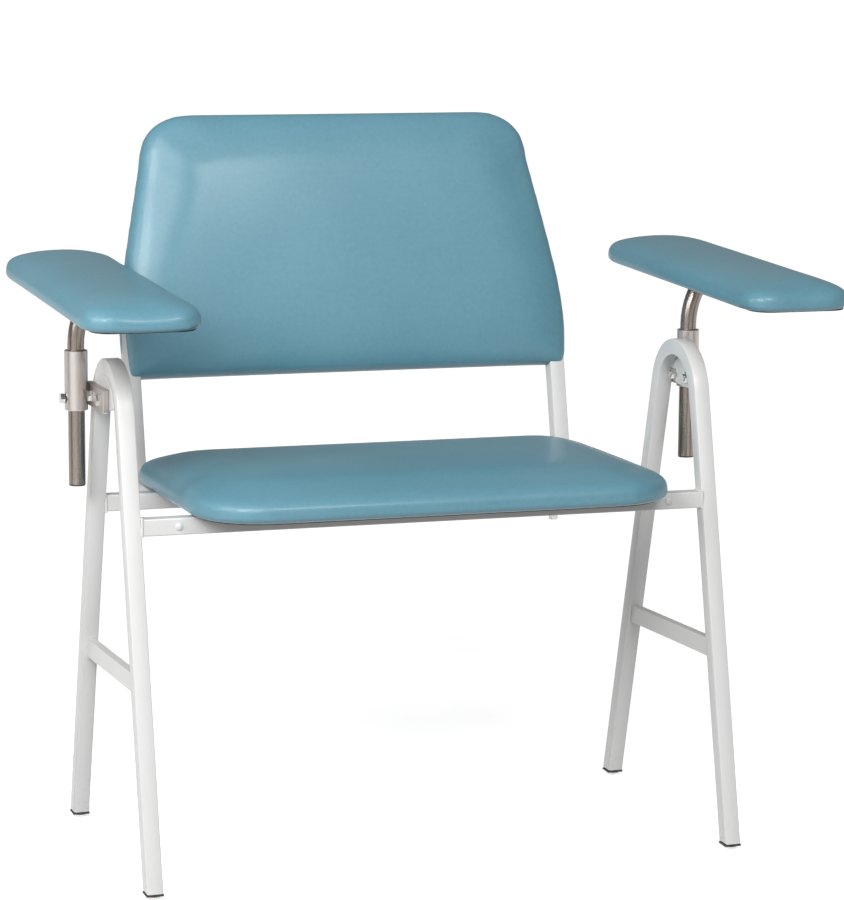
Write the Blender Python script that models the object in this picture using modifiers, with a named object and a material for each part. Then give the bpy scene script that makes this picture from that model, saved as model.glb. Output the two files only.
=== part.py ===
"""Extra-wide blood-draw chair: arched tube side frames, padded seat and back,
and two padded armrests on round posts that lift and swing in clamped sleeves.

The frame is modelled about its own centre plane: x runs to the right of a
viewer who faces the chair, y to its back and z up from the floor.  Left and
right are that viewer's too.  An empty carries every piece and sets the origin
on the floor under the middle of the whole chair, armrests included.
"""
import bpy
import bmesh
from math import atan2, asin, cos, sin, pi, radians, sqrt, tan
from mathutils import Euler, Matrix, Vector

# ---------------------------------------------------------------- dimensions
MM = 0.001
GAP = 0.3 * MM                      # clearance between touching pieces

TUBE = 20 * MM                      # square frame tube
TUBE_ROUND = 2 * MM                 # its corner rounding
HALF_WIDTH = 368 * MM               # outer face of each side frame
LEG_CUT = 8 * MM                    # height of the cut leg ends
FRONT_FOOT = -201.5 * MM            # leg centres at the cut
REAR_FOOT = 177.5 * MM
ARCH_Y = -23.5 * MM                 # centre of the arch bend
ARCH_Z = 530.4 * MM
ARCH_R = 59.5 * MM                  # centre-line radius of the arch bend

RAIL_TOP = 425 * MM                 # seat rails
FRONT_RAIL_Y = -111 * MM
REAR_RAIL_Y = 69 * MM

STRETCHER_T = 10 * MM
STRETCHER_H = 22 * MM
STRETCHER_REAR_Z = 230 * MM
STRETCHER_FRONT_Z = 236 * MM
STRETCHER_INSET = 6 * MM            # from the frame's outer face

GUSSET_T = 4 * MM
GUSSET_LOW = 540 * MM

SEAT_HALF = 295 * MM
SEAT_FRONT = -212 * MM
SEAT_REAR = 167 * MM
SEAT_LOW = 433 * MM
SEAT_HIGH = 466 * MM
BOARD_T = 7.4 * MM

UPRIGHT_X = 280 * MM                # centre of each back upright
UPRIGHT_Y = 184.2 * MM              # its centre line at UPRIGHT_Z
UPRIGHT_Z = 450 * MM
LEAN = radians(12.4)                # of the uprights and back pad
UPRIGHT_BEND = 30 * MM
UPRIGHT_TOP = 155 * MM              # along the lean, above UPRIGHT_Z
BACK_FRONT = 22 * MM                # pad faces from the tube's centre line
BACK_REAR = 16 * MM
BACK_LOW = 93.5 * MM                # along the lean, above UPRIGHT_Z
BACK_TOP = 423.5 * MM

POST_X = 389.5 * MM
POST_Y = 28 * MM
POST_R = 10 * MM
POST_LOW = 444 * MM
BEND_LOW = 611 * MM                 # where the post starts to bend
BEND_R = 95 * MM
SLEEVE_R = 13.75 * MM
SLEEVE_BORE = 10.4 * MM
SLEEVE_LOW = 534 * MM
SLEEVE_HIGH = 605 * MM
CLAMP_Z = 548 * MM
BRACKET_LOW = 539 * MM
BRACKET_HIGH = 567 * MM
FLANGE_BOLTS = (-34 * MM, 8 * MM)   # along y
FLANGE_BOLT_Z = 553 * MM

PAD_TILT = radians(2.6)             # armrest pads rise to the rear
PAD_Z = 666 * MM                    # their lower face above the post
PAD_T = 29 * MM
PAD_HALF = 69.5 * MM
PAD_LENGTH = 497 * MM
PAD_OFFSET = {"left": 28 * MM, "right": 44 * MM}    # pad centre from the post

ORIGIN = Vector((-36 * MM, -33.9 * MM, 0))          # of the carrying empty

SIDES = (("left", -1), ("right", 1))
YZ = Euler((pi / 2, 0, pi / 2)).to_matrix().to_4x4()    # outline plane to world
XZ = Euler((pi / 2, 0, 0)).to_matrix().to_4x4()

# ------------------------------------------------------------------- scene
for old in list(bpy.data.objects):
    bpy.data.objects.remove(old, do_unlink=True)
scene = bpy.context.scene
parts = bpy.data.collections.new("blood_draw_chair")
cutters = bpy.data.collections.new("cutters")
scene.collection.children.link(parts)
scene.collection.children.link(cutters)
root = bpy.data.objects.new("chair_origin", None)
root.location = ORIGIN
parts.objects.link(root)


def material(name, colour, roughness, metallic=0.0):
    """A plain Principled material."""
    mat = bpy.data.materials.new(name)
    mat.use_nodes = True
    shader = mat.node_tree.nodes["Principled BSDF"]
    shader.inputs["Base Color"].default_value = (*colour, 1)
    shader.inputs["Roughness"].default_value = roughness
    shader.inputs["Metallic"].default_value = metallic
    mat.diffuse_color = (*colour, 1)
    return mat


PAINT = material("frame_paint", (0.80, 0.80, 0.80), 0.38)
VINYL = material("vinyl", (0.13, 0.33, 0.42), 0.42)
NICKEL = material("nickel_tube", (0.42, 0.38, 0.35), 0.3, 1.0)
ZINC = material("zinc_bolt", (0.60, 0.60, 0.61), 0.32, 1.0)
PLASTIC = material("black_plastic", (0.02, 0.02, 0.02), 0.5)
BOARD = material("board_cover", (0.16, 0.14, 0.13), 0.85)


def place(obj, name, mat, matrix=None):
    """Name a piece, carry it on the root empty and give it its material."""
    obj.name = name
    obj.data.name = name
    obj.data.materials.clear()
    obj.data.materials.append(mat)
    for coll in list(obj.users_collection):
        coll.objects.unlink(obj)
    parts.objects.link(obj)
    if matrix is not None:
        obj.matrix_basis = matrix
    obj.parent = root
    return obj


def shade(obj, angle=35):
    """Smooth shading that keeps real edges sharp."""
    obj.data.shade_smooth()
    obj.data.set_sharp_from_angle(angle=radians(angle))
    return obj


def outline(name, points, width, mat, matrix, edge=0.0, steps=1):
    """A flat outline with a thickness, its edges rounded by edge."""
    curve = bpy.data.curves.new(name, "CURVE")
    curve.dimensions = "2D"
    curve.fill_mode = "BOTH"
    curve.extrude = width / 2 - edge
    curve.bevel_depth = edge
    curve.offset = -edge
    curve.bevel_resolution = steps
    spline = curve.splines.new("POLY")
    spline.points.add(len(points) - 1)
    for point, (u, v) in zip(spline.points, points):
        point.co = (u, v, 0, 1)
    spline.use_cyclic_u = True
    return place(bpy.data.objects.new(name, curve), name, mat, matrix)


def to_mesh(obj):
    """Turn a curve piece into a welded mesh, ready to be cut."""
    bpy.context.view_layer.update()
    graph = bpy.context.evaluated_depsgraph_get()
    mesh = bpy.data.meshes.new_from_object(obj.evaluated_get(graph))
    bm = bmesh.new()
    bm.from_mesh(mesh)
    bmesh.ops.remove_doubles(bm, verts=bm.verts, dist=0.000001)
    bm.to_mesh(mesh)
    bm.free()
    name = obj.name
    mat = obj.data.materials[0]
    matrix = obj.matrix_basis.copy()
    bpy.data.objects.remove(obj, do_unlink=True)
    return place(bpy.data.objects.new(name, mesh), name, mat, matrix)


def block(name, low, high, mat, edge=0.0, steps=2):
    """A box between two corners with rounded edges."""
    size = Vector(high) - Vector(low)
    bpy.ops.mesh.primitive_cube_add(size=1)
    obj = bpy.context.active_object
    obj.data.transform(Matrix.Diagonal((*size, 1)))
    place(obj, name, mat, Matrix.Translation((Vector(low) + Vector(high)) / 2))
    if edge:
        bevel = obj.modifiers.new("edges", "BEVEL")
        bevel.width = edge
        bevel.segments = steps
        shade(obj)
    return obj


def turned(name, profile, mat, matrix, steps=32):
    """A turned piece: a profile of (radius, height) running from top to bottom."""
    mesh = bpy.data.meshes.new(name)
    bm = bmesh.new()
    verts = [bm.verts.new((radius, 0, height)) for radius, height in profile]
    closed = profile[0][0] > 0 and profile[-1][0] > 0
    for first, second in zip(verts, verts[1:] + (verts[:1] if closed else [])):
        bm.edges.new((first, second))
    bm.to_mesh(mesh)
    bm.free()
    obj = place(bpy.data.objects.new(name, mesh), name, mat, matrix)
    screw = obj.modifiers.new("turn", "SCREW")
    screw.steps = steps
    screw.render_steps = steps
    screw.use_merge_vertices = True
    screw.merge_threshold = 0.00001
    screw.use_smooth_shade = False
    return obj


def rod_cutter(centre, axis, radius, length, steps=24):
    """A round cutter or guide centred on a point along an axis."""
    bpy.ops.mesh.primitive_cylinder_add(vertices=steps, radius=radius, depth=length)
    obj = bpy.context.active_object
    obj.matrix_basis = along(centre, axis)
    return hide(obj)


def hide(obj):
    """Move a helper object into the cutters' collection."""
    for coll in list(obj.users_collection):
        coll.objects.unlink(obj)
    cutters.objects.link(obj)
    obj.parent = root
    obj.hide_render = True
    obj.display_type = "WIRE"
    return obj


def along(centre, axis):
    """The placement whose z axis points along the given axis."""
    turn = Vector((0, 0, 1)).rotation_difference(Vector(axis)).to_matrix().to_4x4()
    return Matrix.Translation(Vector(centre)) @ turn


def cut(obj, cutter, operation="DIFFERENCE"):
    """An exact Boolean on a mesh piece."""
    boolean = obj.modifiers.new("cut", "BOOLEAN")
    boolean.operation = operation
    boolean.solver = "EXACT"
    boolean.object = cutter
    return obj


def arc(centre, radius, start, stop, count):
    """Points along an arc in an outline plane."""
    points = []
    for k in range(count + 1):
        angle = start + (stop - start) * k / count
        points.append((centre[0] + radius * cos(angle), centre[1] + radius * sin(angle)))
    return points


def rounded(half_u, low_v, high_v, low_r, high_r, count=6):
    """A rectangle outline with one radius at its low end and one at its high end."""
    points = arc((half_u - low_r, low_v + low_r), low_r, -pi / 2, 0, count)
    points += arc((half_u - high_r, high_v - high_r), high_r, 0, pi / 2, count)
    points += arc((high_r - half_u, high_v - high_r), high_r, pi / 2, pi, count)
    points += arc((low_r - half_u, low_v + low_r), low_r, pi, 3 * pi / 2, count)
    return points


def hex_bolt(name, seat, axis, flats, head, radius, length, mat=ZINC):
    """A hexagon bolt whose head stands on seat and points along axis."""
    bpy.ops.mesh.primitive_cylinder_add(vertices=6, radius=flats / sqrt(3), depth=head)
    bolt = bpy.context.active_object
    bolt.data.transform(Matrix.Translation((0, 0, head / 2)))
    place(bolt, name, mat, along(seat, axis))
    centre = Vector(seat) - Vector(axis) * (length / 2 - head / 4)
    shank = rod_cutter(centre, axis, radius, length + head / 2, 16)
    return cut(bolt, shank, "UNION")


def hex_nut(name, seat, axis, flats, height, radius, mat=ZINC):
    """A hexagon nut standing on seat, open along axis for its bolt."""
    bpy.ops.mesh.primitive_cylinder_add(vertices=6, radius=flats / sqrt(3), depth=height)
    nut = bpy.context.active_object
    nut.data.transform(Matrix.Translation((0, 0, height / 2)))
    place(nut, name, mat, along(seat, axis))
    return cut(nut, rod_cutter(seat, axis, radius, 4 * height))


# --------------------------------------------------------------- side frames
def leg(foot, side):
    """Unit direction up a leg, its outward normal and its angle at the arch.

    The leg's centre line runs from the foot to touch the arch's circle on the
    front (side -1) or the rear (side +1).
    """
    dy = ARCH_Y - foot
    dz = ARCH_Z - LEG_CUT
    reach = sqrt(dy * dy + dz * dz)
    angle = atan2(dz, dy) - side * asin(ARCH_R / reach)
    up = (cos(angle), sin(angle))
    out = (side * up[1], -side * up[0])
    return up, out, atan2(out[1], out[0])


FRONT_UP, FRONT_OUT, FRONT_ANGLE = leg(FRONT_FOOT, -1)
REAR_UP, REAR_OUT, REAR_ANGLE = leg(REAR_FOOT, 1)


def leg_face_y(foot, up, side, z, offset):
    """The y of a leg's face at height z; offset is positive away from the arch."""
    return foot + (z - LEG_CUT) * up[0] / up[1] + side * offset / up[1]


def side_frame(label, side):
    """One square tube: front leg, arch bend and rear leg, cut flat at the floor."""
    half = TUBE / 2
    centre = (ARCH_Y, ARCH_Z)
    front = FRONT_ANGLE if FRONT_ANGLE > 0 else FRONT_ANGLE + 2 * pi
    points = [(leg_face_y(FRONT_FOOT, FRONT_UP, -1, LEG_CUT, half), LEG_CUT)]
    points += arc(centre, ARCH_R + half, front, REAR_ANGLE, 22)
    points.append((leg_face_y(REAR_FOOT, REAR_UP, 1, LEG_CUT, half), LEG_CUT))
    points.append((leg_face_y(REAR_FOOT, REAR_UP, 1, LEG_CUT, -half), LEG_CUT))
    points += arc(centre, ARCH_R - half, REAR_ANGLE, front, 22)
    points.append((leg_face_y(FRONT_FOOT, FRONT_UP, -1, LEG_CUT, -half), LEG_CUT))
    x = side * (HALF_WIDTH - half)
    return outline("side_frame_" + label, points, TUBE, PAINT,
                   Matrix.Translation((x, 0, 0)) @ YZ, TUBE_ROUND, 1)


def gusset(label, side):
    """A round-bottomed plate that fills the top of the arch at its outer face."""
    radius = ARCH_R - TUBE / 2 - GAP
    rise = 7.5 * MM
    corner = asin((GUSSET_LOW + rise - ARCH_Z) / radius)
    half = radius * cos(corner)
    big = (half * half + rise * rise) / (2 * rise)
    swing = asin(half / big)
    points = arc((ARCH_Y, ARCH_Z), radius, corner, pi - corner, 18)
    low = arc((ARCH_Y, GUSSET_LOW + big), big, -pi / 2 - swing, -pi / 2 + swing, 8)
    points += low[1:-1]
    x = side * (HALF_WIDTH - GUSSET_T / 2)
    plate = outline("gusset_plate_" + label, points, GUSSET_T, PAINT,
                    Matrix.Translation((x, 0, 0)) @ YZ)
    plate = to_mesh(plate)
    for y in FLANGE_BOLTS:
        cut(plate, rod_cutter((x, y, FLANGE_BOLT_Z), (1, 0, 0), 4.3 * MM, 20 * MM))
    return plate


def stretcher(label, side):
    """The flat bar between a front and a rear leg."""
    points = []
    half = STRETCHER_H / 2
    for z in (STRETCHER_FRONT_Z - half, STRETCHER_FRONT_Z + half):
        points.append((leg_face_y(FRONT_FOOT, FRONT_UP, -1, z, -TUBE / 2 - GAP), z))
    for z in (STRETCHER_REAR_Z + half, STRETCHER_REAR_Z - half):
        points.append((leg_face_y(REAR_FOOT, REAR_UP, 1, z, -TUBE / 2 - GAP), z))
    x = side * (HALF_WIDTH - STRETCHER_INSET - STRETCHER_T / 2)
    return outline("stretcher_" + label, points, STRETCHER_T, PAINT,
                   Matrix.Translation((x, 0, 0)) @ YZ)


def foot(label, side, y):
    """A black end cap and the steel glide under it."""
    x = side * (HALF_WIDTH - TUBE / 2)
    half = TUBE / 2 + 0.3 * MM
    block("end_cap_" + label, (x - half, y - half, 5 * MM),
          (x + half, y + half, LEG_CUT - GAP), PLASTIC, 0.7 * MM, 2)
    profile = [(0, 4.7), (7.5, 4.7), (8.3, 3.9), (8.1, 2.6), (6.3, 1.0), (4.2, 0.0), (0, 0)]
    turned("glide_" + label, [(r * MM, z * MM) for r, z in profile], ZINC,
           Matrix.Translation((x, y, 0)), 24)


# ------------------------------------------------------------------- rails
def rails():
    """The two cross rails, drilled for the seat bolts and the end screws."""
    reach = HALF_WIDTH - TUBE - GAP
    half = TUBE / 2
    front = block("front_seat_rail", (-reach, FRONT_RAIL_Y - half, RAIL_TOP - TUBE),
                  (reach, FRONT_RAIL_Y + half, RAIL_TOP), PAINT, 1.6 * MM)
    rear = block("rear_seat_rail", (-reach, REAR_RAIL_Y - half, RAIL_TOP - TUBE),
                 (reach, REAR_RAIL_Y + half, RAIL_TOP), PAINT, 1.6 * MM)
    for label, side in SIDES:
        face = (side * 304 * MM, FRONT_RAIL_Y - half, RAIL_TOP - half)
        cut(front, rod_cutter(face, (0, 1, 0), 2.5 * MM, 24 * MM, 16))
        profile = [(0, 2.6), (2.4, 2.3), (4.4, 1.2), (4.8, 0.3), (2.2, 0.3), (2.2, -9), (0, -9)]
        turned("rail_screw_" + label, [(r * MM, z * MM) for r, z in profile], PAINT,
               along(face, (0, -1, 0)), 20)
    return front, rear


def seat_bolt(label, rail, board, x, y):
    """A hexagon bolt up through a rail into the seat board."""
    head_seat = (x, y, RAIL_TOP - TUBE - GAP)
    cut(rail, rod_cutter((x, y, RAIL_TOP), (0, 0, 1), 3.4 * MM, 60 * MM))
    cut(board, rod_cutter((x, y, RAIL_TOP), (0, 0, 1), 3.4 * MM, 60 * MM))
    hex_bolt("seat_bolt_" + label, head_seat, (0, 0, -1), 10 * MM, 5.5 * MM, 3 * MM, 26 * MM)


# ---------------------------------------------------------------- upholstery
def seat():
    """The seat pad and the board beneath it."""
    middle = (SEAT_FRONT + SEAT_REAR) / 2
    half = (SEAT_REAR - SEAT_FRONT) / 2
    pad = outline("seat_pad", rounded(SEAT_HALF, -half, half, 85 * MM, 45 * MM, 8),
                  SEAT_HIGH - SEAT_LOW, VINYL,
                  Matrix.Translation((0, middle, (SEAT_HIGH + SEAT_LOW) / 2)), 11 * MM, 3)
    low = SEAT_FRONT + 14 * MM
    high = 150 * MM
    board = outline("seat_board", rounded(SEAT_HALF - 12 * MM, low, high, 72 * MM, 34 * MM),
                    BOARD_T, BOARD, Matrix.Translation((0, 0, RAIL_TOP + GAP + BOARD_T / 2)))
    return pad, to_mesh(board)


def back_half_width(v):
    """Half the back pad's width at a distance v up its lean."""
    stations = ((93.5, 289), (122, 293.5), (150, 295), (200, 290.5), (250, 281),
                (300, 270.5), (366, 256))
    v = v / MM
    for (v0, w0), (v1, w1) in zip(stations, stations[1:]):
        if v <= v1:
            return (w0 + (w1 - w0) * (v - v0) / (v1 - v0)) * MM
    return stations[-1][1] * MM


def lean_frame(x=0.0, v=0.0, w=0.0):
    """Placement on the leaning uprights: v runs up them and w out of their front."""
    up = Vector((0, sin(LEAN), cos(LEAN)))
    out = Vector((0, -cos(LEAN), sin(LEAN)))
    place_at = Vector((x, UPRIGHT_Y, UPRIGHT_Z)) + up * v + out * w
    return Matrix.Translation(place_at) @ Matrix.Rotation(-LEAN, 4, "X") @ XZ


def back():
    """The back pad, wide at its foot, with two sockets for the uprights."""
    top_v = 366 * MM
    count = 12
    side = []
    for k in range(count + 1):
        v = BACK_LOW + (top_v - BACK_LOW) * k / count
        side.append((back_half_width(v), v))
    inner = 72 * MM
    corner = []
    for k in range(1, 11):
        angle = pi / 2 * k / 10
        corner.append((back_half_width(top_v) - inner + inner * cos(angle) ** 0.9,
                       top_v + (BACK_TOP - top_v) * sin(angle) ** 0.9))
    right = side + corner
    points = right + [(-u, v) for u, v in reversed(right)]
    thick = BACK_FRONT + BACK_REAR
    pad = outline("back_pad", points, thick, VINYL,
                  lean_frame(0, 0, (BACK_FRONT - BACK_REAR) / 2), 9 * MM, 3)
    pad = to_mesh(pad)
    half = TUBE / 2 + GAP
    for _, sign in SIDES:
        bpy.ops.mesh.primitive_cube_add(size=1)
        slot = bpy.context.active_object
        top = UPRIGHT_TOP + GAP
        slot.data.transform(Matrix.Diagonal((2 * half, top, 2 * half, 1)))
        slot.data.transform(Matrix.Translation((0, top / 2, 0)))
        slot.matrix_basis = lean_frame(sign * UPRIGHT_X, 0, 0)
        cut(pad, hide(slot))
    return pad


def upright(label, side):
    """A tube that runs back from the rear rail and bends up into the back pad."""
    z = RAIL_TOP - TUBE / 2
    meet = UPRIGHT_Y + (z - UPRIGHT_Z) * tan(LEAN)
    turn = pi / 2 - LEAN
    set_back = UPRIGHT_BEND * tan(turn / 2)
    half = TUBE / 2
    centre = (meet - set_back, z + UPRIGHT_BEND)
    start = REAR_RAIL_Y + TUBE / 2 + GAP
    up = (sin(LEAN), cos(LEAN))
    across = (cos(LEAN), -sin(LEAN))
    top = (UPRIGHT_Y + up[0] * UPRIGHT_TOP, UPRIGHT_Z + up[1] * UPRIGHT_TOP)
    points = [(start, z - half)]
    points += arc(centre, UPRIGHT_BEND + half, -pi / 2, -pi / 2 + turn, 10)
    points.append((top[0] + across[0] * half, top[1] + across[1] * half))
    points.append((top[0] - across[0] * half, top[1] - across[1] * half))
    points += arc(centre, UPRIGHT_BEND - half, -pi / 2 + turn, -pi / 2, 10)
    points.append((start, z + half))
    return outline("back_upright_" + label, points, TUBE, PAINT,
                   Matrix.Translation((side * UPRIGHT_X, 0, 0)) @ YZ, TUBE_ROUND, 1)


# ------------------------------------------------------------------ armrests
def sleeve_and_bracket(label, side):
    """The bolted plate on the arch and the clamped sleeve it carries."""
    x = side * POST_X
    height = SLEEVE_HIGH - SLEEVE_LOW
    edge = 0.8 * MM
    profile = [(SLEEVE_BORE, 0), (SLEEVE_R - edge, 0), (SLEEVE_R, -edge),
               (SLEEVE_R, edge - height), (SLEEVE_R - edge, -height), (SLEEVE_BORE, -height)]
    sleeve = turned("arm_sleeve_" + label, profile, NICKEL,
                    Matrix.Translation((x, POST_Y, SLEEVE_HIGH)), 32)
    outward = (side, 0, 0)
    hole = (x + side * SLEEVE_R, POST_Y, CLAMP_Z)
    cut(sleeve, rod_cutter(hole, outward, 3.3 * MM, 2 * (SLEEVE_R - 5 * MM), 16))
    seat = (x + side * (SLEEVE_R + 0.6 * MM), POST_Y, CLAMP_Z)
    hex_bolt("clamp_bolt_" + label, seat, outward, 11 * MM, 5 * MM, 3 * MM, 3.6 * MM)

    inner = side * (HALF_WIDTH + GAP)
    outer = side * (POST_X - SLEEVE_R - GAP)
    low = (min(inner, outer), -50 * MM, BRACKET_LOW)
    high = (max(inner, outer), 36 * MM, BRACKET_HIGH)
    plate = block("arm_bracket_" + label, low, high, NICKEL, 1.0 * MM, 1)
    seat_x = side * (POST_X - SLEEVE_R)
    for number, y in enumerate(FLANGE_BOLTS, 1):
        cut(plate, rod_cutter((inner, y, FLANGE_BOLT_Z), outward, 4.3 * MM, 40 * MM))
        hex_bolt("flange_bolt_%s_%d" % (label, number), (seat_x, y, FLANGE_BOLT_Z), outward,
                 12 * MM, 5.2 * MM, 4 * MM, 20 * MM)
        nut_x = side * (HALF_WIDTH - GUSSET_T - GAP)
        hex_nut("flange_nut_%s_%d" % (label, number), (nut_x, y, FLANGE_BOLT_Z),
                (-side, 0, 0), 12.5 * MM, 6 * MM, 4.3 * MM)


def pad_frame(x, w=0.0):
    """Placement on an armrest's tilted underside, w above it."""
    turn = Matrix.Rotation(PAD_TILT, 4, "X")
    return Matrix.Translation((x, POST_Y, PAD_Z)) @ turn @ Matrix.Translation((0, 0, w))


def armrest(label, side):
    """Post with its bent top, end plug, mounting plate, board and pad."""
    x = side * POST_X
    pad_x = x + PAD_OFFSET[label]
    plug_low = POST_LOW + 1.8 * MM

    curve = bpy.data.curves.new("arm_post_" + label, "CURVE")
    curve.dimensions = "3D"
    curve.bevel_depth = POST_R
    curve.bevel_resolution = 6
    curve.use_fill_caps = True
    path = [(0, plug_low), (0, BEND_LOW)]
    reach = asin((PAD_Z + 10 * MM - BEND_LOW) / BEND_R)
    for k in range(1, 9):
        angle = reach * k / 8
        path.append((BEND_R * (1 - cos(angle)), BEND_LOW + BEND_R * sin(angle)))
    spline = curve.splines.new("POLY")
    spline.points.add(len(path) - 1)
    for point, (dx, z) in zip(spline.points, path):
        point.co = (dx, 0, z, 1)
    post = place(bpy.data.objects.new("arm_post_" + label, curve), "arm_post_" + label,
                 NICKEL, Matrix.Translation((x, POST_Y, 0)))
    post = to_mesh(post)
    bpy.ops.mesh.primitive_cube_add(size=120 * MM)
    trim = bpy.context.active_object
    trim.matrix_basis = pad_frame(x, 60 * MM - 8.6 * MM)
    cut(post, hide(trim))
    cut(post, rod_cutter((x, POST_Y, plug_low), (0, 0, 1), 8 * MM, 32 * MM))
    shade(post)

    profile = [(0, 17), (7.2, 17), (7.7, 16.4), (7.7, 1.5), (9.6, 1.5), (9.8, 1.2), (9.3, 0), (0, 0)]
    turned("post_plug_" + label, [(r * MM, z * MM) for r, z in profile], PLASTIC,
           Matrix.Translation((x, POST_Y, POST_LOW)))

    shift = (x - pad_x) / 2 + 4 * MM
    outline("arm_plate_" + label, rounded(30 * MM, -50 * MM, 50 * MM, 6 * MM, 6 * MM, 3),
            3 * MM, NICKEL, pad_frame(pad_x, -6.8 * MM) @ Matrix.Translation((shift, 0, 0)))
    half = PAD_LENGTH / 2
    outline("arm_board_" + label,
            rounded(PAD_HALF - 9 * MM, 9 * MM - half, half - 9 * MM, 22 * MM, 40 * MM, 5),
            4.7 * MM, BOARD, pad_frame(pad_x, -2.65 * MM))
    outline("arm_pad_" + label, rounded(PAD_HALF, -half, half, 30 * MM, 48 * MM, 6),
            PAD_T, VINYL, pad_frame(pad_x, PAD_T / 2), 9 * MM, 3)


# ------------------------------------------------------------------ assembly
for label, side in SIDES:
    side_frame(label, side)
    gusset(label, side)
    stretcher(label, side)
    foot("front_" + label, side, FRONT_FOOT)
    foot("rear_" + label, side, REAR_FOOT)
    upright(label, side)
    sleeve_and_bracket(label, side)
    armrest(label, side)

front_rail, rear_rail = rails()
seat_pad, seat_board = seat()
seat_bolt("front", front_rail, seat_board, 159 * MM, FRONT_RAIL_Y)
seat_bolt("rear_left", rear_rail, seat_board, -159 * MM, REAR_RAIL_Y)
seat_bolt("rear_right", rear_rail, seat_board, 159 * MM, REAR_RAIL_Y)
back()
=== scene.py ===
"""Looks of an extra-wide blood-draw chair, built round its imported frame.

Left and right are those of a viewer who faces the chair.  The four pads are
upholstered shells, swollen by a short cloth run; bent and turned metal gets
smooth skins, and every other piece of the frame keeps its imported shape.
"""
from math import cos, pi, radians, sin

import bmesh
import bpy
import numpy as np
from mathutils import Matrix, Vector


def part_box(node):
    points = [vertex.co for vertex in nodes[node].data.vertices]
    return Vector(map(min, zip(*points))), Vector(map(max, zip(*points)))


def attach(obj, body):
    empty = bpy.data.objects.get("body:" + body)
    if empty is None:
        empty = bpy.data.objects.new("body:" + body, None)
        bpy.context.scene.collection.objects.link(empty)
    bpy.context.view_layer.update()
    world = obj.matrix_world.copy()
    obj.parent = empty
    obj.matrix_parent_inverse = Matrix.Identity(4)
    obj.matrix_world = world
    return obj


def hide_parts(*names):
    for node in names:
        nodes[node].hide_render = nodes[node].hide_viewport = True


MM = 0.001
SIDES = (("left", -1), ("right", 1))
SHARP_BEND = radians(32)

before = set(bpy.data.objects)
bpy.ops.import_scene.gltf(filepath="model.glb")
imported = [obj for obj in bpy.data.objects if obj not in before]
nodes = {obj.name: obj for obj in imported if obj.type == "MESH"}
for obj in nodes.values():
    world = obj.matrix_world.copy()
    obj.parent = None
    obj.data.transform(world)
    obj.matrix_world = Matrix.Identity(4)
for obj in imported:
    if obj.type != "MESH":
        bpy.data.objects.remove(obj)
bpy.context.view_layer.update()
scene = bpy.context.scene
scene.view_settings.view_transform = "Standard"


def middle(node):
    """The middle of a node's box."""
    low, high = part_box(node)
    return (low + high) / 2


# ---------------------------------------------------------------- finishes
class Wire:
    """A shader value that can be used in sums."""

    def __init__(self, finish, socket):
        self.finish = finish
        self.socket = socket

    def _maths(self, operation, first, second):
        return self.finish.node("ShaderNodeMath", {"operation": operation},
                                {0: first, 1: second})

    def __add__(self, other):
        return self._maths("ADD", self, other)

    def __sub__(self, other):
        return self._maths("SUBTRACT", self, other)

    def __rsub__(self, other):
        return self._maths("SUBTRACT", other, self)

    def __mul__(self, other):
        return self._maths("MULTIPLY", self, other)

    __radd__ = __add__
    __rmul__ = __mul__


class Finish:
    """A procedural material: a Principled shader and what feeds it."""

    def __init__(self, name, colour, roughness, **fixed):
        self.material = bpy.data.materials.new(name)
        self.material.use_nodes = True
        self.tree = self.material.node_tree
        self.shader = self.tree.nodes["Principled BSDF"]
        self.put(self.shader.inputs["Base Color"], (*colour, 1))
        self.put(self.shader.inputs["Roughness"], roughness)
        for label, value in fixed.items():
            self.shader.inputs[label.replace("_", " ")].default_value = value
        self.material.diffuse_color = (*colour, 1)
        self.place = self.node("ShaderNodeTexCoord", out="Object")

    def put(self, socket, value):
        """Link a wire to a socket, or set the socket's number."""
        if isinstance(value, Wire):
            self.tree.links.new(value.socket, socket)
        else:
            socket.default_value = value

    def node(self, kind, settings=None, inputs=None, out=0):
        """Any node: its settings first, then its sockets."""
        made = self.tree.nodes.new(kind)
        for label, value in (settings or {}).items():
            if label == "stops":
                ramp = made.color_ramp
                for element, (position, grey) in zip(ramp.elements, value):
                    element.position = position
                    element.color = (grey, grey, grey, 1)
            else:
                setattr(made, label, value)
        for label, value in (inputs or {}).items():
            self.put(made.inputs[label], value)
        return Wire(self, made.outputs[out])

    def noise(self, scale, detail=2.0, rough=0.5, at=None):
        """Soft noise from 0 to 1, scale in waves a metre."""
        return self.node("ShaderNodeTexNoise", None,
                         {"Vector": at or self.place, "Scale": scale,
                          "Detail": detail, "Roughness": rough})

    def stretched(self, scale):
        """The place with each axis scaled, for brushed or drawn marks."""
        return self.node("ShaderNodeMapping", None,
                         {"Vector": self.place, "Scale": scale})

    def ramp(self, value, low, high, from_grey=0.0, to_grey=1.0):
        """A value's step from one level to another."""
        return self.node("ShaderNodeValToRGB",
                         {"stops": ((low, from_grey), (high, to_grey))}, {0: value})

    def blend(self, factor, first, second):
        """One colour into another."""
        return self.node("ShaderNodeMix", {"data_type": "RGBA"},
                         {0: factor, 6: first, 7: second}, out=2)

    def bump(self, height, strength, depth):
        """Fine relief of the surface, depth in metres."""
        normal = self.node("ShaderNodeBump", None,
                           {"Height": height, "Strength": strength, "Distance": depth})
        self.feed("Normal", normal)

    def feed(self, label, value):
        """Drive one of the shader's own sockets."""
        self.put(self.shader.inputs[label], value)


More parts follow.
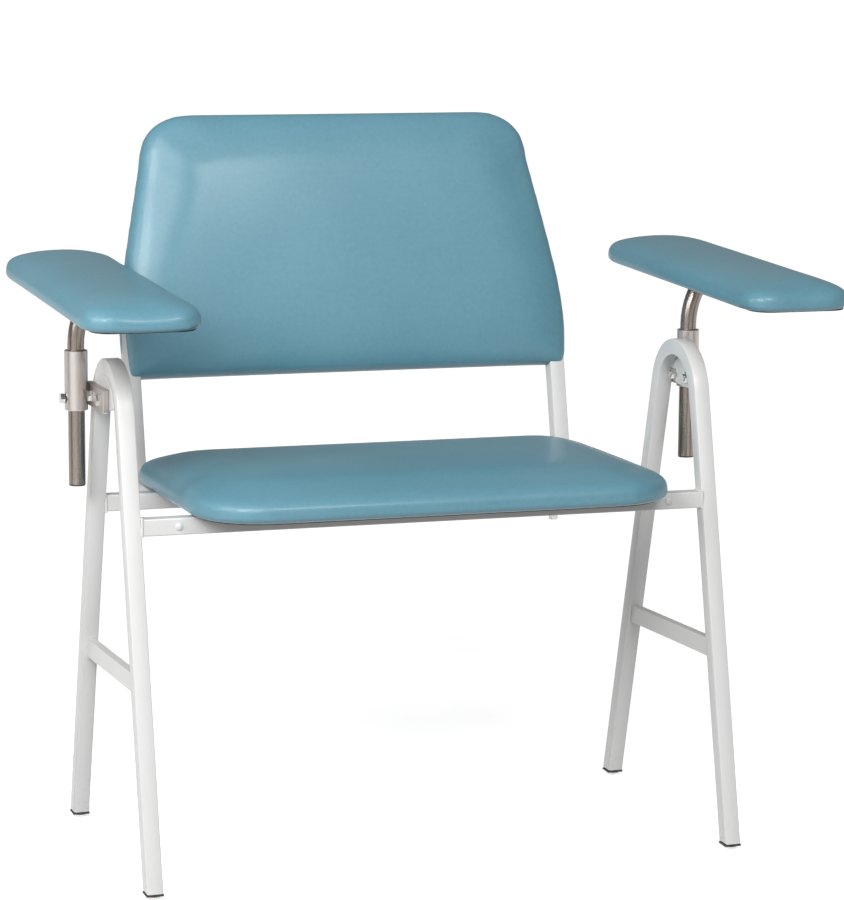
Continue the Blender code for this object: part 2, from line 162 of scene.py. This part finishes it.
def upholstery_vinyl():
    """Blue-green coated fabric with a fine pebbled grain, with painted shade darkening the grain's
    grooves.
    """
    f = Finish("chair_vinyl", (0.108, 0.268, 0.345), 0.38, Coat_Weight=0.22,
               Coat_Roughness=0.16)
    pebble = f.node("ShaderNodeTexVoronoi", {"feature": "DISTANCE_TO_EDGE"},
                    {"Vector": f.place, "Scale": 620.0, "Randomness": 0.9})
    pebble = f.ramp(pebble, 0.0, 0.32)
    pores = f.noise(1900.0, 2.0, 0.6)
    cloudy = f.noise(6.0, 2.0)
    mottled = f.noise(160.0, 3.0, 0.6)
    shade = cloudy * 0.55 + mottled * 0.45
    lit = f.blend(f.ramp(shade, 0.36, 0.64), (0.096, 0.246, 0.317, 1),
                  (0.117, 0.283, 0.358, 1))
    # The grooves between the pebbles, where the bump sinks, are painted darker: grain pattern, and
    # painted shade in its recesses.
    f.feed("Base Color", f.blend((1 - pebble) * 0.22, lit, (0.060, 0.165, 0.215, 1)))
    f.feed("Roughness", 0.37 + mottled * 0.09 + (1 - pebble) * 0.08)
    f.bump(pebble * 0.7 + pores * 0.3, 0.16, 0.00022)
    return f.material


def powder_paint(name, white, warm):
    """Light powder coat with a faint orange peel and scuffs low down."""
    f = Finish(name, (white, white, white * warm), 0.34, Coat_Weight=0.15,
               Coat_Roughness=0.22)
    peel = f.noise(420.0, 2.0)
    patches = f.noise(14.0, 3.0, 0.6)
    height = f.node("ShaderNodeSeparateXYZ", None, {0: f.place}, out=2)
    low_down = f.ramp(height, 0.0, 0.10, 1.0, 0.0)
    scuffs = f.ramp(f.noise(260.0, 4.0, 0.7), 0.56, 0.68) * low_down
    clean = f.blend(f.ramp(patches, 0.3, 0.7), (white, white, white * warm, 1),
                    (white * 0.965, white * 0.963, white * warm * 0.955, 1))
    f.feed("Base Color", f.blend(scuffs * 0.35, clean, (0.42, 0.40, 0.37, 1)))
    f.feed("Roughness", 0.31 + patches * 0.08 + scuffs * 0.2)
    f.bump(peel, 0.08, 0.00025)
    return f.material


def drawn_nickel(name, colour, roughness):
    """Nickel-plated tube, drawn lengthways, with faint blooms."""
    f = Finish(name, colour, roughness, Metallic=1.0)
    lines = f.noise(1.0, 4.0, 0.6, at=f.stretched((900.0, 900.0, 14.0)))
    bloom = f.noise(45.0, 3.0, 0.6)
    dark = tuple(value * 0.72 for value in colour)
    f.feed("Base Color", f.blend(lines * 0.45 + bloom * 0.35, (*colour, 1), (*dark, 1)))
    f.feed("Roughness", roughness - 0.05 + lines * 0.10 + bloom * 0.08)
    f.bump(lines, 0.06, 0.0001)
    return f.material


def zinc_plate():
    """Bright zinc with a slightly cloudy passivation."""
    f = Finish("zinc_plate", (0.62, 0.62, 0.60), 0.26, Metallic=1.0)
    cloud = f.noise(300.0, 3.0, 0.6)
    f.feed("Base Color", f.blend(cloud, (0.70, 0.70, 0.69, 1), (0.48, 0.47, 0.44, 1)))
    f.feed("Roughness", 0.20 + cloud * 0.18)
    f.bump(f.noise(1200.0, 2.0), 0.08, 0.0001)
    return f.material


def moulded_plastic():
    """Black moulded plastic with a fine spark-eroded texture."""
    f = Finish("moulded_plastic", (0.018, 0.018, 0.019), 0.5)
    grit = f.noise(1500.0, 3.0, 0.6)
    f.feed("Roughness", 0.42 + f.noise(90.0) * 0.16)
    f.feed("Base Color", f.blend(f.noise(60.0), (0.014, 0.014, 0.015, 1),
                                 (0.030, 0.029, 0.028, 1)))
    f.bump(grit, 0.2, 0.00015)
    return f.material


def dust_cover():
    """Dark non-woven cloth stretched under a board."""
    f = Finish("dust_cover", (0.05, 0.047, 0.045), 0.92)
    weave = f.noise(1.0, 3.0, 0.7, at=f.stretched((900.0, 420.0, 900.0)))
    f.feed("Base Color", f.blend(weave, (0.035, 0.033, 0.032, 1), (0.085, 0.080, 0.076, 1)))
    f.bump(weave, 0.35, 0.0003)
    return f.material


VINYL = upholstery_vinyl()
PAINT = powder_paint("frame_paint", 0.66, 0.99)
NICKEL = drawn_nickel("drawn_nickel", (0.32, 0.275, 0.24), 0.24)
SLEEVE = drawn_nickel("satin_sleeve", (0.60, 0.555, 0.525), 0.33)
ZINC = zinc_plate()
PLASTIC = moulded_plastic()
COVER = dust_cover()


# ------------------------------------------------------------------- metal
def merge_points(mesh, outward=False):
    """Join a mesh's loose faces, and turn them outwards if asked."""
    form = bmesh.new()
    form.from_mesh(mesh)
    bmesh.ops.remove_doubles(form, verts=form.verts, dist=0.01 * MM)
    if outward:
        bmesh.ops.recalc_face_normals(form, faces=form.faces)
    form.to_mesh(mesh)
    form.free()


def coat(node, finish):
    """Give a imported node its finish."""
    data = nodes[node].data
    data.materials.clear()
    data.materials.append(finish)


def skin(node, body, finish):
    """A bent or turned node's own surface, shaded smooth between its real edges."""
    mesh = nodes[node].data.copy()
    if "custom_normal" in mesh.attributes:
        mesh.attributes.remove(mesh.attributes["custom_normal"])
    merge_points(mesh)
    mesh.shade_smooth()
    mesh.set_sharp_from_angle(angle=SHARP_BEND)
    mesh.materials.clear()
    mesh.materials.append(finish)
    piece = bpy.data.objects.new(node + "_skin", mesh)
    scene.collection.objects.link(piece)
    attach(piece, body)
    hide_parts(node)


for label, _ in SIDES:
    arm = "arm_" + label
    skin("side_frame_" + label, "frame", PAINT)
    skin("back_upright_" + label, "frame", PAINT)
    skin("arm_post_" + label, arm, NICKEL)
    skin("arm_sleeve_" + label, "frame", SLEEVE)
    skin("post_plug_" + label, "lift_" + label, PLASTIC)
    skin("clamp_bolt_" + label, "clamp_" + label, ZINC)
    skin("rail_screw_" + label, "frame", PAINT)
    for number in ("_1", "_2"):
        skin("flange_bolt_" + label + number, "frame", ZINC)
        skin("flange_nut_" + label + number, "frame", ZINC)
    for end in ("front_", "rear_"):
        skin("end_cap_" + end + label, "frame", PLASTIC)
        skin("glide_" + end + label, "frame", ZINC)
    for name in ("gusset_plate_", "stretcher_"):
        coat(name + label, PAINT)
    coat("arm_bracket_" + label, SLEEVE)
    coat("arm_plate_" + label, NICKEL)
    coat("arm_board_" + label, COVER)
for name in ("front_seat_rail", "rear_seat_rail"):
    coat(name, PAINT)
coat("seat_board", COVER)
for name in ("seat_bolt_front", "seat_bolt_rear_left", "seat_bolt_rear_right"):
    skin(name, "frame", ZINC)


# -------------------------------------------------------------------- pads
FOAM_PRESSURE = 4.0
CLOTH_FRAMES = 20
COVER_ROUNDS = 20
LIP = 12 * MM
LIP_SLOPE = 3 * MM
EASED_WITHIN = 26 * MM


def rounded_outline(half, low, high, low_r, high_r, count=10):
    """A rectangle in u and v whose low and high corners differ in radius."""
    corners = ((half - low_r, low + low_r, low_r, -90),
               (half - high_r, high - high_r, high_r, 0),
               (high_r - half, high - high_r, high_r, 90),
               (low_r - half, low + low_r, low_r, 180))
    points = []
    for u, v, radius, start in corners:
        for k in range(count + 1):
            angle = radians(start + 90 * k / count)
            points.append((u + radius * cos(angle), v + radius * sin(angle)))
    return points


def edge_distance(u, v, outline):
    """How far inside a closed outline each point is."""
    nearest = np.full(len(u), 9.0)
    ring = np.array(outline)
    for (u0, v0), (u1, v1) in zip(ring, np.roll(ring, -1, axis=0)):
        du, dv = u1 - u0, v1 - v0
        along = ((u - u0) * du + (v - v0) * dv) / max(du * du + dv * dv, 1e-12)
        along = np.clip(along, 0, 1)
        gap = np.hypot(u - u0 - along * du, v - v0 - along * dv)
        nearest = np.minimum(nearest, gap)
    return nearest


def points_of(mesh):
    """A mesh's points as an array."""
    flat = np.zeros(len(mesh.vertices) * 3)
    mesh.vertices.foreach_get("co", flat)
    return flat.reshape(-1, 3)


def move_points(mesh, points):
    """Put an array's points back in a mesh."""
    mesh.vertices.foreach_set("co", points.ravel())
    mesh.update()


def settle(obj):
    """Replace an object's mesh with what its modifiers make of it."""
    graph = bpy.context.evaluated_depsgraph_get()
    mesh = bpy.data.meshes.new_from_object(obj.evaluated_get(graph))
    obj.modifiers.clear()
    obj.data = mesh
    return obj


def blank(name, outline, thick, edge, voxel):
    """A slab of even quads with rounded edges, the start of a pad."""
    curve = bpy.data.curves.new(name, "CURVE")
    curve.dimensions = "2D"
    curve.fill_mode = "BOTH"
    curve.extrude = thick / 2 - edge
    curve.bevel_depth = edge
    curve.offset = -edge
    curve.bevel_resolution = 4
    spline = curve.splines.new("POLY")
    spline.points.add(len(outline) - 1)
    for point, (u, v) in zip(spline.points, outline):
        point.co = (u, v, 0, 1)
    spline.use_cyclic_u = True
    drawn = bpy.data.objects.new(name + "_outline", curve)
    scene.collection.objects.link(drawn)
    graph = bpy.context.evaluated_depsgraph_get()
    mesh = bpy.data.meshes.new_from_object(drawn.evaluated_get(graph))
    bpy.data.objects.remove(drawn)
    merge_points(mesh, outward=True)
    pad = bpy.data.objects.new(name, mesh)
    scene.collection.objects.link(pad)
    remesh = pad.modifiers.new("even quads", "REMESH")
    remesh.mode = "VOXEL"
    remesh.voxel_size = voxel
    settle(pad)
    relax(pad, 5)
    return pad


def relax(obj, rounds):
    """Smooth away the steps that even quads leave."""
    form = bmesh.new()
    form.from_mesh(obj.data)
    for _ in range(rounds):
        bmesh.ops.smooth_vert(form, verts=form.verts, factor=0.5, use_axis_x=True,
                              use_axis_y=True, use_axis_z=True)
    form.to_mesh(obj.data)
    form.free()


def neighbour_mean(values, ends, count):
    """The mean of each point's neighbours."""
    total = np.zeros_like(values)
    np.add.at(total, ends[:, 0], values[ends[:, 1]])
    np.add.at(total, ends[:, 1], values[ends[:, 0]])
    return total / count


def edges_of(mesh):
    """The two ends of each edge, and how many neighbours each point has."""
    ends = np.array([edge.vertices[:] for edge in mesh.edges])
    count = np.bincount(ends.ravel(), minlength=len(mesh.vertices))[:, None]
    return ends, count


def ease(mesh, weight, rounds):
    """Even out the rise of the cover, most where weight is 1."""
    ends, count = edges_of(mesh)
    points = points_of(mesh)
    for _ in range(rounds):
        mean = neighbour_mean(points[:, 2:], ends, count)[:, 0]
        points[:, 2] += 0.6 * weight * (mean - points[:, 2])
    move_points(mesh, points)


def swell(obj, held_below, cap):
    """Blow the cover up over its foam, by cap at most; what lies on the board stays put."""
    mesh = obj.data
    start = points_of(mesh)
    held = obj.vertex_groups.new(name="on_board")
    held.add([int(k) for k in np.nonzero(start[:, 2] < held_below)[0]], 1.0, "ADD")
    cloth = obj.modifiers.new("cover", "CLOTH")
    cloth.settings.use_pressure = True
    cloth.settings.uniform_pressure_force = FOAM_PRESSURE
    cloth.settings.effector_weights.gravity = 0.0
    cloth.settings.vertex_group_mass = held.name
    cloth.settings.quality = 4
    cloth.point_cache.frame_start = 1
    cloth.point_cache.frame_end = CLOTH_FRAMES
    for number in range(1, CLOTH_FRAMES + 1):
        scene.frame_set(number)
    graph = bpy.context.evaluated_depsgraph_get()
    blown = bpy.data.meshes.new_from_object(obj.evaluated_get(graph))
    moved = points_of(blown) - start
    bpy.data.meshes.remove(blown)
    obj.modifiers.remove(cloth)
    obj.vertex_groups.clear()
    scene.frame_set(1)
    size = np.linalg.norm(moved, axis=1, keepdims=True)
    moved *= cap * np.tanh(size / cap) / np.maximum(size, 1e-9)
    ends, count = edges_of(mesh)
    for _ in range(COVER_ROUNDS):
        moved = 0.5 * moved + 0.5 * neighbour_mean(moved, ends, count)
    move_points(mesh, start + moved)


def roll(inside, reach, power):
    """How far the cover has risen, from 0 at the edge to 1 at reach from it."""
    left = 1 - np.clip(inside / reach, 0, 1)
    return (1 - left ** power) ** (1 / power)


def upholster(name, outline, thick, rim, reach, crown, place, voxel, cap, power=2.2,
              hollow=0.0):
    """A padded, vinyl-covered shell whose widest line is at rim, below its middle.

    Its top rolls up over reach and then rises by crown to the middle, and its
    underside is hollow inside the folded lip, where the board shows."""
    pad = blank(name, outline, thick, min(thick * 0.36, 13.5 * MM), voxel)
    points = points_of(pad.data)
    inside = edge_distance(points[:, 0], points[:, 1], outline)
    half = thick / 2
    share = points[:, 2] / half
    rise = 0.8 * roll(inside, reach, power) + 0.2 * share
    dome = crown * (1 - np.exp(-inside / (1.6 * reach)))
    sunk = hollow * np.clip((inside - LIP) / LIP_SLOPE, 0, 1) * np.clip(-share, 0, 1) ** 4
    points[:, 2] = np.where(share > 0, rim + (half - rim) * rise + dome * share,
                            rim + (half + rim) * share + sunk)
    move_points(pad.data, points)
    upper = np.clip(2 * share, 0, 1)
    ease(pad.data, np.clip(inside / EASED_WITHIN, 0, 1) ** 2 * upper, 60)
    swell(pad, -half * 0.72, cap)
    relax(pad, 3)
    finer = pad.modifiers.new("finer", "SUBSURF")
    finer.levels = 1
    finer.render_levels = 1
    settle(pad)
    pad.data.transform(place)
    pad.data.shade_smooth()
    pad.data.materials.clear()
    pad.data.materials.append(VINYL)
    return pad


def finish_pad(pad, body, node):
    """Carry a pad on its body, in place of the plain solid."""
    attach(pad, body)
    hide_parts(node)


SEAT_HALF = 295 * MM
SEAT_HALF_DEPTH = 189.5 * MM
seat_place = Matrix.Translation(middle("seat_pad") + Vector((0, 0, -3.6 * MM)))
seat_line = rounded_outline(SEAT_HALF + MM, -SEAT_HALF_DEPTH, SEAT_HALF_DEPTH, 84 * MM, 56 * MM)
seat = upholster("seat_cushion", seat_line, 41 * MM, -7 * MM, 90 * MM, 1.5 * MM, seat_place,
                 6 * MM, 3.5 * MM)
finish_pad(seat, "frame", "seat_pad")

BACK_LEAN = radians(12.4)
BACK_WIDTHS = ((-165, 289), (-136, 293.5), (-108, 295), (-58, 290.5), (-8, 281), (42, 270.5),
               (108, 256))
BACK_LOW = -165 * MM
BACK_TOP = 171 * MM
BACK_CORNER = 72 * MM
TOP_CORNER_V = 107.5 * MM


def back_outline():
    """The back pad's outline: wide and square below, narrower and round above."""
    heights, widths = zip(*BACK_WIDTHS)
    right = []
    for v in np.linspace(BACK_LOW - 2 * MM, TOP_CORNER_V, 13):
        right.append((np.interp(v / MM, heights, widths) * MM + 3 * MM, v))
    width = right[-1][0]
    for k in range(1, 13):
        angle = pi / 2 * k / 12
        right.append((width - BACK_CORNER + BACK_CORNER * cos(angle) ** 0.9,
                      TOP_CORNER_V + (BACK_TOP - TOP_CORNER_V) * sin(angle) ** 0.9))
    return right + [(-u, v) for u, v in reversed(right)]


back_axes = Matrix(((1, 0, 0), (0, sin(BACK_LEAN), -cos(BACK_LEAN)),
                    (0, cos(BACK_LEAN), sin(BACK_LEAN)))).to_4x4()
back_place = Matrix.Translation(middle("back_pad") + Vector((2.4 * MM, 0, 0))) @ back_axes
back = upholster("back_cushion", back_outline(), 38 * MM, -4 * MM, 84 * MM, 4 * MM, back_place,
                 6 * MM, 5 * MM, 3.0)
finish_pad(back, "frame", "back_pad")

ARM_TILT = radians(2.6)
ARM_HALF = 70.5 * MM
ARM_HALF_LENGTH = 249.5 * MM
arm_line = rounded_outline(ARM_HALF, -ARM_HALF_LENGTH, ARM_HALF_LENGTH, 36 * MM, 58 * MM)
for label, side in SIDES:
    turn = Matrix.Rotation(ARM_TILT, 4, "X")
    settled = Vector((-2.5 * MM if side > 0 else -1.5 * MM, 0, 0))
    place = Matrix.Translation(middle("arm_pad_" + label) + settled) @ turn
    place = place @ Matrix.Translation((0, 0, -2.6 * MM))
    cushion = upholster("arm_cushion_" + label, arm_line, 34.2 * MM, -8 * MM, 60 * MM, 1.5 * MM,
                        place, 5 * MM, 3 * MM, 2.4, 3.5 * MM)
    finish_pad(cushion, "arm_" + label, "arm_pad_" + label)


# --------------------------------------------------------- repeated details
def row_tree(name, ball):
    """Geometry Nodes: balls or blocks spaced along a line and turned to follow it."""
    tree = bpy.data.node_groups.new(name, "GeometryNodeTree")
    tree.is_modifier = True
    face = tree.interface
    face.new_socket("Line", in_out="INPUT", socket_type="NodeSocketGeometry")
    face.new_socket("Spacing", in_out="INPUT", socket_type="NodeSocketFloat")
    face.new_socket("Size", in_out="INPUT", socket_type="NodeSocketVector")
    face.new_socket("Finish", in_out="INPUT", socket_type="NodeSocketMaterial")
    face.new_socket("Row", in_out="OUTPUT", socket_type="NodeSocketGeometry")
    put = tree.nodes.new("NodeGroupInput")
    out = tree.nodes.new("NodeGroupOutput")
    line = tree.nodes.new("GeometryNodeMeshToCurve")
    space = tree.nodes.new("GeometryNodeResampleCurve")
    space.mode = "LENGTH"
    tangent = tree.nodes.new("GeometryNodeInputTangent")
    turn = tree.nodes.new("FunctionNodeAlignRotationToVector")
    turn.axis = "X"
    if ball:
        piece = tree.nodes.new("GeometryNodeMeshIcoSphere")
        piece.inputs["Subdivisions"].default_value = 2
        piece.inputs["Radius"].default_value = 0.5
    else:
        piece = tree.nodes.new("GeometryNodeMeshCube")
    scatter = tree.nodes.new("GeometryNodeInstanceOnPoints")
    real = tree.nodes.new("GeometryNodeRealizeInstances")
    paint = tree.nodes.new("GeometryNodeSetMaterial")
    link = tree.links.new
    link(put.outputs["Line"], line.inputs["Mesh"])
    link(line.outputs["Curve"], space.inputs["Curve"])
    link(put.outputs["Spacing"], space.inputs["Length"])
    link(space.outputs["Curve"], scatter.inputs["Points"])
    link(tangent.outputs[0], turn.inputs["Vector"])
    link(turn.outputs[0], scatter.inputs["Rotation"])
    link(piece.outputs["Mesh"], scatter.inputs["Instance"])
    link(put.outputs["Size"], scatter.inputs["Scale"])
    link(scatter.outputs["Instances"], real.inputs["Geometry"])
    link(real.outputs["Geometry"], paint.inputs["Geometry"])
    link(put.outputs["Finish"], paint.inputs["Material"])
    link(paint.outputs["Geometry"], out.inputs["Row"])
    return tree


def row(name, tree, lines, spacing, size, finish, body):
    """Run a row tree along some lines of points and carry the result."""
    form = bmesh.new()
    for line, closed in lines:
        corners = [form.verts.new(point) for point in line]
        for first, second in zip(corners, corners[1:]):
            form.edges.new((first, second))
        if closed:
            form.edges.new((corners[-1], corners[0]))
    mesh = bpy.data.meshes.new(name)
    form.to_mesh(mesh)
    form.free()
    piece = bpy.data.objects.new(name, mesh)
    scene.collection.objects.link(piece)
    made = piece.modifiers.new("row", "NODES")
    made.node_group = tree
    sockets = {item.name: item.identifier for item in tree.interface.items_tree
               if item.in_out == "INPUT"}
    made[sockets["Spacing"]] = spacing
    made[sockets["Size"]] = size
    made[sockets["Finish"]] = finish
    settle(piece)
    piece.data.shade_smooth()
    piece.data.set_sharp_from_angle(angle=radians(50))
    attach(piece, body)


STAPLES = row_tree("staples", ball=False)
BEADS = row_tree("weld_beads", ball=True)
SEAT_STAPLE_INSET = 24 * MM
ARM_STAPLE_INSET = 18 * MM

seat_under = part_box("seat_board")[0].z
line_at = middle("seat_pad")
staple_line = rounded_outline(SEAT_HALF - SEAT_STAPLE_INSET, SEAT_STAPLE_INSET - SEAT_HALF_DEPTH,
                              SEAT_HALF_DEPTH - SEAT_STAPLE_INSET, 66 * MM, 36 * MM, 6)
row("seat_staples", STAPLES, [([(line_at.x + u, line_at.y + v, seat_under - 0.2 * MM)
                                for u, v in staple_line], True)],
    24 * MM, (11 * MM, 1.3 * MM, 0.9 * MM), ZINC, "frame")
arm_staple_line = rounded_outline(ARM_HALF - ARM_STAPLE_INSET, ARM_STAPLE_INSET - ARM_HALF_LENGTH,
                                  ARM_HALF_LENGTH - ARM_STAPLE_INSET, 26 * MM, 44 * MM, 6)
for label, _ in SIDES:
    under = Matrix.Translation(middle("arm_board_" + label))
    under = under @ Matrix.Rotation(ARM_TILT, 4, "X") @ Matrix.Translation((0, 0, -2.5 * MM))
    row("arm_staples_" + label, STAPLES,
        [([under @ Vector((u, v, 0)) for u, v in arm_staple_line], True)],
        22 * MM, (10 * MM, 1.2 * MM, 0.8 * MM), ZINC, "arm_" + label)


def seam_round(low, high, axis, at):
    """Four corners of the joint where a bar's end meets a face across an axis."""
    first, second = [k for k in range(3) if k != axis]
    corners = []
    for a, b in ((low, low), (low, high), (high, high), (high, low)):
        point = [0, 0, 0]
        point[axis] = at
        point[first] = a[first]
        point[second] = b[second]
        corners.append(tuple(point))
    return corners


bead_lines = []
for rail in ("front_seat_rail", "rear_seat_rail"):
    rail_low, rail_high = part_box(rail)
    bead_lines.append((seam_round(rail_low, rail_high, 0, rail_low.x), True))
    bead_lines.append((seam_round(rail_low, rail_high, 0, rail_high.x), True))
ARCH_INSIDE = 49.35 * MM
for label, side in SIDES:
    plate_low, plate_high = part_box("gusset_plate_" + label)
    face = plate_low.x if side < 0 else plate_high.x
    hub = ((plate_low.y + plate_high.y) / 2, plate_high.z - ARCH_INSIDE + 0.3 * MM)
    fillet = []
    for k in range(25):
        angle = radians(20 + 140 * k / 24)
        fillet.append((face - side * 0.35 * MM, hub[0] + ARCH_INSIDE * cos(angle),
                       hub[1] + ARCH_INSIDE * sin(angle)))
    row("gusset_seam_" + label, BEADS, [(fillet, False)], 0.6 * MM, (1.3 * MM, 1.1 * MM, 1.1 * MM),
        PAINT, "frame")
row("rail_welds", BEADS, bead_lines, 1.7 * MM, (3.0 * MM, 3.2 * MM, 3.2 * MM), PAINT, "frame")

# ----------------------------------------------------- camera, light, floor
EYE = Vector((-1.2557, -3.7331, 1.0646))
EYE_YAW = radians(18.28)
EYE_PITCH = radians(9.42)
EYE_ROLL = radians(0.26)

ahead = Vector((sin(EYE_YAW) * cos(EYE_PITCH), cos(EYE_YAW) * cos(EYE_PITCH), -sin(EYE_PITCH)))
level = Vector((cos(EYE_YAW), -sin(EYE_YAW), 0))
upward = level.cross(ahead)
right_hand = level * cos(EYE_ROLL) + upward * sin(EYE_ROLL)
overhead = upward * cos(EYE_ROLL) - level * sin(EYE_ROLL)
lens = bpy.data.cameras.new("camera")
lens.lens = 130.34
lens.sensor_width = 36
lens.shift_x = 0.0249
lens.shift_y = 0.0498
lens.clip_end = 400
camera = bpy.data.objects.new("camera", lens)
turned = Matrix((right_hand, overhead, -ahead)).transposed().to_4x4()
camera.matrix_world = Matrix.Translation(EYE) @ turned
scene.collection.objects.link(camera)
scene.camera = camera


def aimed(obj, at, towards):
    """Stand a light at a point and turn it to another."""
    obj.location = at
    obj.rotation_euler = (Vector(towards) - Vector(at)).to_track_quat("-Z", "Y").to_euler()
    scene.collection.objects.link(obj)
    return obj


def soft_box(name, at, towards, size, power):
    """A square soft light."""
    light = bpy.data.lights.new(name, "AREA")
    light.size = size
    light.energy = power
    return aimed(bpy.data.objects.new(name, light), at, towards)


key = bpy.data.lights.new("key", "SUN")
key.energy = 1.0
key.angle = radians(26)
aimed(bpy.data.objects.new("key", key), (-0.9, -3.0, 2.7), (0, 0, 0.45))
soft_box("main_box", (-1.7, -1.9, 1.75), (-0.15, 0.15, 0.62), 0.9, 40)
soft_box("left_box", (-1.5, -0.5, 1.1), (-0.4, 0, 0.45), 0.6, 7)
soft_box("edge_box", (0.35, -2.1, 1.9), (0.1, -0.1, 0.45), 0.5, 12)


CARD = Finish("black_card", (0.02, 0.02, 0.02), 0.9)
CARD.feed("Roughness", 0.85 + CARD.noise(4.0) * 0.1)


def flag(name, at, size):
    """A dark card that only shows in reflections, beside the lights."""
    bpy.ops.mesh.primitive_plane_add(size=1)
    card = bpy.context.active_object
    card.name = name
    card.data.transform(Matrix.Diagonal((size[0], size[1], 1, 1)))
    aim = (Vector((0, 0, 0.5)) - Vector(at)).to_track_quat("-Z", "Y").to_matrix().to_4x4()
    card.data.transform(Matrix.Translation(at) @ aim)
    card.visible_camera = False
    card.visible_diffuse = False
    card.visible_shadow = False
    card.visible_transmission = False
    card.data.materials.append(CARD.material)


flag("flag_right", (1.5, -1.3, 0.9), (0.55, 2.2))
flag("flag_left", (-2.3, -0.1, 0.9), (0.7, 2.2))
flag("flag_front", (-0.55, -2.6, 0.8), (0.35, 1.6))

ROOM_LIGHT = 0.33
SEEN_LIGHT = 1.0
world = bpy.data.worlds.new("studio")
world.use_nodes = True
backdrop = world.node_tree.nodes["Background"]
backdrop.inputs["Color"].default_value = (1.0, 1.0, 1.0, 1)
seen = world.node_tree.nodes.new("ShaderNodeLightPath")
strength = world.node_tree.nodes.new("ShaderNodeMapRange")
strength.inputs["To Min"].default_value = ROOM_LIGHT
strength.inputs["To Max"].default_value = SEEN_LIGHT
world.node_tree.links.new(seen.outputs["Is Camera Ray"], strength.inputs["Value"])
world.node_tree.links.new(strength.outputs["Result"], backdrop.inputs["Strength"])
scene.world = world

bpy.ops.mesh.primitive_plane_add(size=240)
floor = bpy.context.active_object
floor.name = "floor"
paper = Finish("studio_floor", (0.90, 0.90, 0.90), 0.9, Emission_Strength=0.58)
paper.shader.inputs["Emission Color"].default_value = (1, 1, 1, 1)
paper.feed("Base Color", paper.blend(paper.noise(0.5), (0.91, 0.91, 0.91, 1),
                                     (0.89, 0.89, 0.89, 1)))
floor.data.materials.append(paper.material)
floor.visible_diffuse = False
